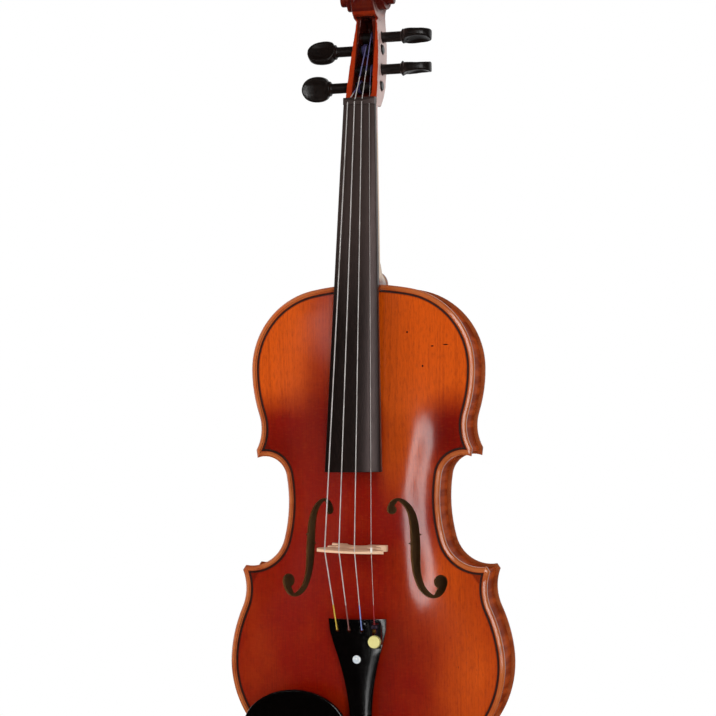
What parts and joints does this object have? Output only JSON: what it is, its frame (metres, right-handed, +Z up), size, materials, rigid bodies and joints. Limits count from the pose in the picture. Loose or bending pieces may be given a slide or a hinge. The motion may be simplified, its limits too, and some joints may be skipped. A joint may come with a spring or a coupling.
{
  "type": "violin",
  "caption": "Bowed string instrument with an arched wooden body, long dark fingerboard, carved scroll, turning pegs, bridge, tailpiece and chinrest.",
  "frame": {"origin": "where a padded fork holds the neck: on the back of the neck, in the middle of its width, 11 mm below the nut", "axes": "+Z up along the instrument towards the scroll, +Y to its back, +X to the treble side, right in the picture"},
  "size_m": [0.208, 0.102, 0.6071],
  "materials": {
    "top_spruce": "varnished, glossy",
    "back_maple": "varnished, glossy, flamed",
    "neck_maple": "varnished, satin on the hand part",
    "purfling_black": "varnished",
    "inner_spruce": "bare",
    "board_ebony": "oiled, satin",
    "fitting_ebony": "polished, satin",
    "polished_ebony": "polished, glossy",
    "bridge_maple": "bare, fine",
    "sleeve_plastic": "matt",
    "string_metal": "fine wound",
    "small_brass": "bright",
    "pearl": "pearly",
    "tuner_black": "satin",
    "tuner_gold": "bright plated",
    "gut_nylon": "smooth",
    "cork": "cork, matt",
    "clamp_chrome": "bright"
  },
  "bodies": {
    "violin": {"top_plate": "top_spruce", "back_plate": "back_maple", "top_purfling": "purfling_black", "back_purfling": "purfling_black", "upper_rib_treble": "back_maple", "upper_rib_bass": "back_maple", "waist_rib_treble": "back_maple", "waist_rib_bass": "back_maple", "lower_rib_treble": "back_maple", "lower_rib_bass": "back_maple", "upper_block": "inner_spruce", "lower_block": "inner_spruce", "corner_blocks": "inner_spruce", "top_linings": "inner_spruce", "back_linings": "inner_spruce", "bass_bar": "inner_spruce", "sound_post": "inner_spruce", "neck_scroll": "neck_maple", "fingerboard": "board_ebony", "nut": "fitting_ebony", "string_g": "string_metal", "string_d": "string_metal", "string_a": "string_metal", "string_e": "string_metal", "bridge": "bridge_maple", "string_sleeve": "sleeve_plastic", "tailpiece": "polished_ebony", "tail_fret": "fitting_ebony", "pearl_eye": "pearl", "string_balls": "small_brass", "tuner_body": "tuner_black", "tuner_pivot": "tuner_black", "tuner_nut": "tuner_black", "tailgut": "gut_nylon", "tailgut_nuts": "small_brass", "saddle": "fitting_ebony", "end_button": "fitting_ebony", "chinrest": "polished_ebony", "chinrest_cork": "cork", "clamp_rods": "clamp_chrome"},
    "peg_g": {"peg_g": "fitting_ebony", "winding_g": "string_metal"},
    "peg_d": {"peg_d": "fitting_ebony", "winding_d": "string_metal"},
    "peg_a": {"peg_a": "fitting_ebony", "winding_a": "string_metal"},
    "peg_e": {"peg_e": "fitting_ebony", "winding_e": "string_metal"},
    "tuner_screw": {"tuner_screw": "tuner_gold"},
    "tuner_lever": {"tuner_lever": "tuner_black", "tuner_ball": "small_brass"},
    "clamp_barrel_one": {"clamp_barrel_one": "clamp_chrome"},
    "clamp_barrel_two": {"clamp_barrel_two": "clamp_chrome"},
    "clamp_foot": {"clamp_foot": "clamp_chrome", "clamp_foot_cork": "cork"}
  },
  "joints": [
    {"name": "peg_g_turn", "type": "hinge", "parent": "violin", "child": "peg_g", "pos_m": [0, 0.00272, 0.02698], "axis": [1, 0, 0], "continuous": true},
    {"name": "peg_d_turn", "type": "hinge", "parent": "violin", "child": "peg_d", "pos_m": [0, 0.01261, 0.056], "axis": [1, 0, 0], "continuous": true},
    {"name": "peg_a_turn", "type": "hinge", "parent": "violin", "child": "peg_a", "pos_m": [0, 0.01738, 0.066], "axis": [1, 0, 0], "continuous": true},
    {"name": "peg_e_turn", "type": "hinge", "parent": "violin", "child": "peg_e", "pos_m": [0, 0.00759, 0.04002], "axis": [1, 0, 0], "continuous": true},
    {"name": "tuner_screw_slide", "type": "slide", "parent": "violin", "child": "tuner_screw", "axis": [0, 1, 0], "range_m": [0, 0.0024]},
    {"name": "tuner_lever_turn", "type": "hinge", "parent": "violin", "child": "tuner_lever", "pos_m": [0.0145, -0.04098, -0.3702], "axis": [1, 0, 0], "range_deg": [0, 14.1]},
    {"name": "clamp_barrel_one_turn", "type": "hinge", "parent": "violin", "child": "clamp_barrel_one", "pos_m": [-0.036, -0.0034, -0.47927], "axis": [0, 1, 0], "range_deg": [0, 1800]},
    {"name": "clamp_barrel_two_turn", "type": "hinge", "parent": "violin", "child": "clamp_barrel_two", "pos_m": [-0.053, -0.0034, -0.47531], "axis": [0, 1, 0], "range_deg": [0, 1800]},
    {"name": "clamp_foot_slide", "type": "slide", "parent": "violin", "child": "clamp_foot", "axis": [0, 1, 0], "range_m": [0, 0.005]}
  ],
  "couplings": [
    {"joint": "tuner_lever_turn", "follows": "tuner_screw_slide", "rad_per_m": 102},
    {"joint": "clamp_barrel_one_turn", "follows": "clamp_foot_slide", "rad_per_m": 6283.2},
    {"joint": "clamp_barrel_two_turn", "follows": "clamp_foot_slide", "rad_per_m": 6283.2}
  ]
}
